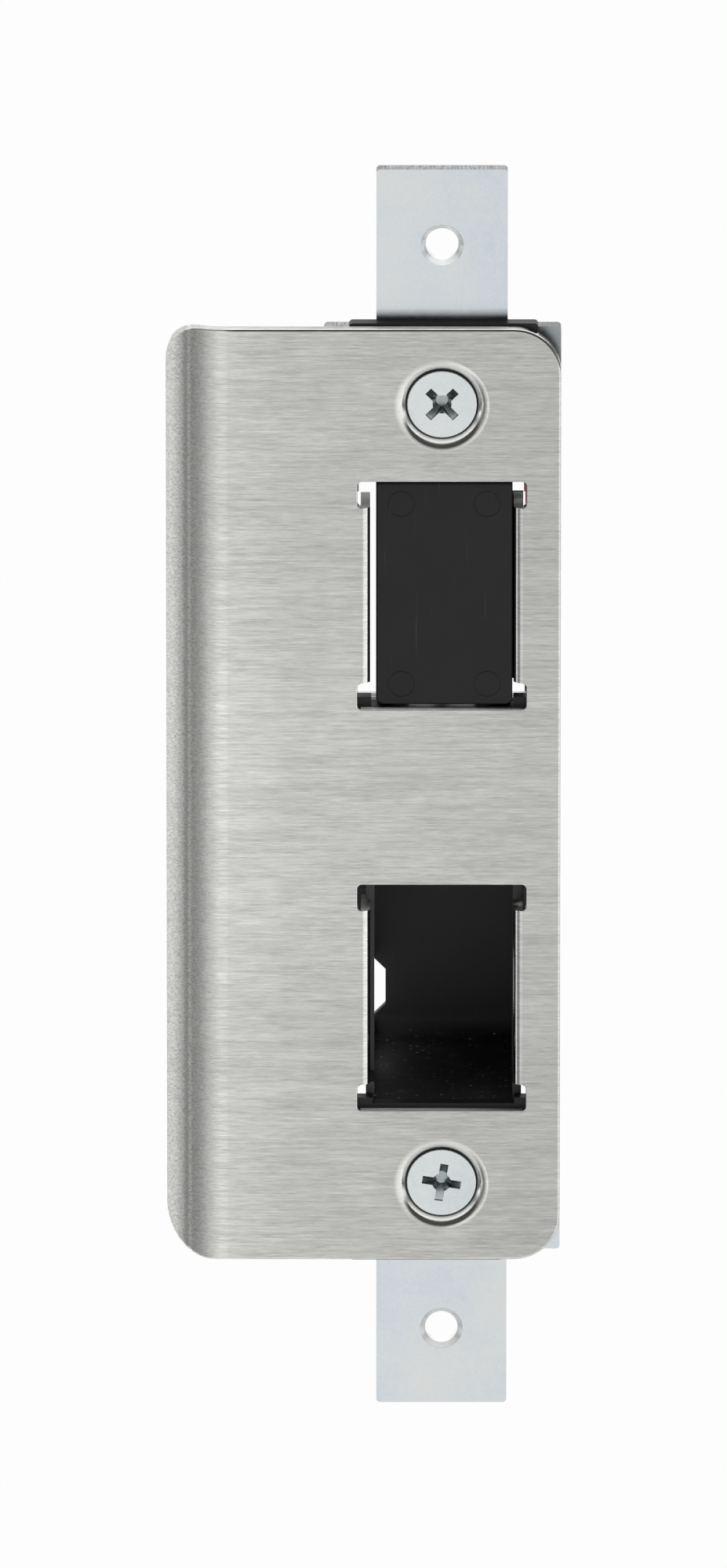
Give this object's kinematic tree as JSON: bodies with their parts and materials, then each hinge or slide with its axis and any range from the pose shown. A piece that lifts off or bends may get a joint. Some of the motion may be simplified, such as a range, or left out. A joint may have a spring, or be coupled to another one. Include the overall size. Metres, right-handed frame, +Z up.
{
  "type": "electric door strike",
  "caption": "Electric door strike: steel plate with curved lip, sprung shoe over a solenoid rocker that ejects the latch, deadbolt dust box and tabbed mounting bracket.",
  "frame": {"origin": "midway between the two tab holes, on the front face of the bracket's tabs", "axes": "+X to the right seen from the front, +Y into the door frame, +Z up"},
  "size_m": [0.0507, 0.0386, 0.1664],
  "materials": {
    "stainless": "satin",
    "zinc_plate": "satin",
    "zinc_fastener": "satin",
    "black_plastic": "matte",
    "steel_pin": "polished",
    "spring_steel": "satin",
    "bronze": "satin",
    "brass": "satin",
    "copper": "gloss",
    "die_cast": "matte",
    "nylon": "matte",
    "coil_tape": "satin",
    "terminal_green": "satin",
    "lead_insulation": "satin",
    "yoke_steel": "satin"
  },
  "bodies": {
    "unit": {"strike_plate": "stainless", "strike_screws": "zinc_fastener", "front_frame": "black_plastic", "mounting_bracket": "zinc_plate", "dust_box": "black_plastic", "box_screws": "zinc_fastener", "cage": "zinc_plate", "cage_rivets": "steel_pin", "spring_bridge": "zinc_plate", "bridge_screws": "zinc_fastener", "guide_rods": "steel_pin", "rod_nuts": "zinc_fastener", "spring_seats": "nylon", "shoe_spring_left": "spring_steel", "shoe_spring_right": "spring_steel", "pivot_pin": "steel_pin", "pivot_clips": "spring_steel", "solenoid_yoke": "yoke_steel", "yoke_screws": "zinc_fastener", "pole_piece": "yoke_steel", "brass_sleeve": "brass", "coil_bobbin": "nylon", "coil_winding": "copper", "coil_wrap": "coil_tape", "terminal_block": "terminal_green", "terminal_clamps": "brass", "terminal_screws": "zinc_fastener", "block_screw": "zinc_fastener", "coil_leads": "lead_insulation"},
    "shoe_body": {"shoe": "black_plastic", "thrust_pad": "steel_pin"},
    "rocker_body": {"rocker": "die_cast", "rocker_bushes": "bronze", "nose_rollers": "steel_pin", "nose_pin": "steel_pin"},
    "plunger_body": {"plunger": "steel_pin", "cross_pin": "steel_pin"}
  },
  "joints": [
    {"name": "shoe_slide", "type": "slide", "parent": "unit", "child": "shoe_body", "axis": [0, 1, 0], "range_m": [0, 0.011], "stiffness_N_per_m": 80, "springref_m": -0.008, "deforming": ["shoe_spring_left", "shoe_spring_right"]},
    {"name": "rocker_pivot", "type": "hinge", "parent": "unit", "child": "rocker_body", "pos_m": [0, 0.0115, 0.008], "axis": [-1, 0, 0], "range_deg": [0, 40.22]},
    {"name": "plunger_slide", "type": "slide", "parent": "unit", "child": "plunger_body", "axis": [0, -1, 0], "range_m": [0, 0.00659]}
  ],
  "couplings": [
    {"joint": "rocker_pivot", "follows": "shoe_slide", "rad_per_m": 63.801},
    {"joint": "plunger_slide", "follows": "shoe_slide", "ratio": 0.599}
  ]
}
